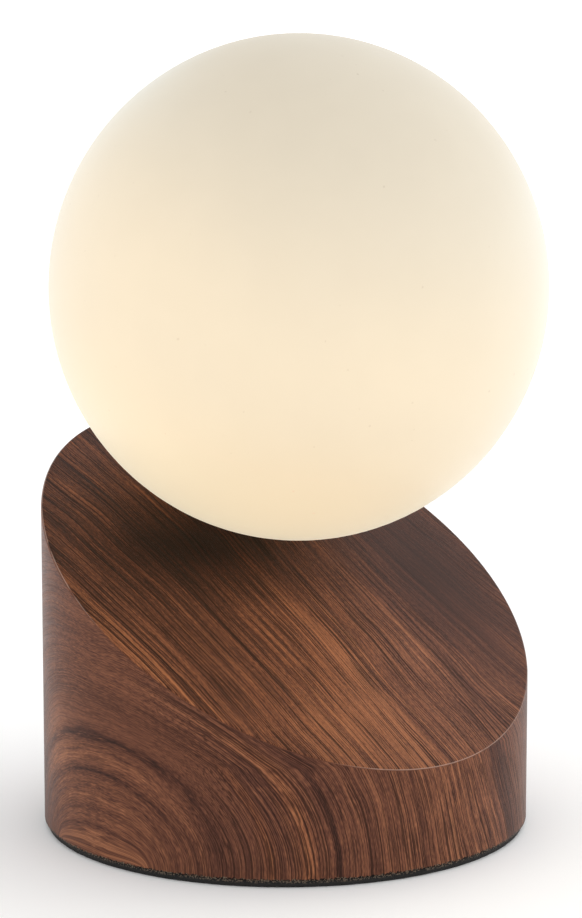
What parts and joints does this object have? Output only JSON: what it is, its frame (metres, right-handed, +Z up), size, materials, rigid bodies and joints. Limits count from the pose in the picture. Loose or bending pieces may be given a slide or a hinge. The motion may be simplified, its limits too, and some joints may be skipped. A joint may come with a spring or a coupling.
{
  "type": "bedside lamp",
  "caption": "Bedside lamp: opal glass globe set off-centre on the slanted top of a wood-grained cylinder, with a globe that unscrews and a bulb that pulls out.",
  "frame": {"origin": "centre of the foot pad's underside, where the lamp stands", "axes": "+Z up, -Y towards the low side of the slanted face, +Y towards the high side with the cord inlet, +X to the right when looking along +Y"},
  "size_m": [0.1, 0.107, 0.1577],
  "materials": {
    "wood_print": "dark walnut grain printed on sheet steel, satin lacquer",
    "opal_glass": "opal, satin outside, lit from within",
    "black_foam": "matt closed-cell foam sheet",
    "plated_steel": "zinc plated",
    "tinned_steel": "bright plated",
    "ballast_iron": "as cast, black primer",
    "black_nylon": "moulded, fine texture",
    "white_nylon": "moulded, slightly translucent",
    "steatite": "unglazed",
    "spring_bronze": "spring bronze strip",
    "brass": "turned brass",
    "silicone": "milky silicone",
    "brown_sleeve": "wire insulation",
    "blue_sleeve": "wire insulation",
    "earth_sleeve": "green and yellow wire insulation",
    "bulb_plastic": "white moulding",
    "bulb_frost": "frosted cover",
    "board_white": "white solder mask",
    "phosphor": "yellow phosphor"
  },
  "bodies": {
    "base": {"base_shell": "wood_print", "foot_pad": "black_foam", "bottom_plate": "plated_steel", "cover_tabs": "plated_steel", "cover_screws": "plated_steel", "ballast": "ballast_iron", "ballast_screws": "plated_steel", "cord_bush": "black_nylon", "cord_bush_nut": "black_nylon", "holder_cup": "plated_steel", "lampholder_body": "steatite", "lampholder_base": "steatite", "lampholder_contacts": "spring_bronze", "lampholder_rivet": "brass", "lampholder_bracket": "plated_steel", "nipple": "brass", "earth_tag": "tinned_steel", "nipple_washer": "tinned_steel", "nipple_nut": "brass", "terminal_block": "white_nylon", "terminal_sleeves": "brass", "terminal_screws": "tinned_steel", "block_screws": "tinned_steel", "live_wire": "brown_sleeve", "neutral_wire": "blue_sleeve", "earth_wire": "earth_sleeve"},
    "seal": {"globe_seal": "silicone"},
    "globe": {"globe": "opal_glass"},
    "bulb": {"bulb_base": "bulb_plastic", "bulb_pins": "tinned_steel", "bulb_cover": "bulb_frost", "led_board": "board_white", "led_chips": "phosphor"}
  },
  "joints": [
    {"name": "globe_turn", "type": "hinge", "parent": "base", "child": "seal", "pos_m": [0, 0.02173, 0.06662], "axis": [0, -0.545, 0.8384], "range_deg": [0, 540]},
    {"name": "globe_lift", "type": "slide", "parent": "seal", "child": "globe", "axis": [0, -0.545, 0.8384], "range_m": [0, 0.006]},
    {"name": "bulb_pull", "type": "slide", "parent": "base", "child": "bulb", "axis": [0, -0.545, 0.8384], "range_m": [0, 0.01]}
  ],
  "couplings": [
    {"joint": "globe_lift", "follows": "globe_turn", "m_per_rad": 0.00063662}
  ]
}
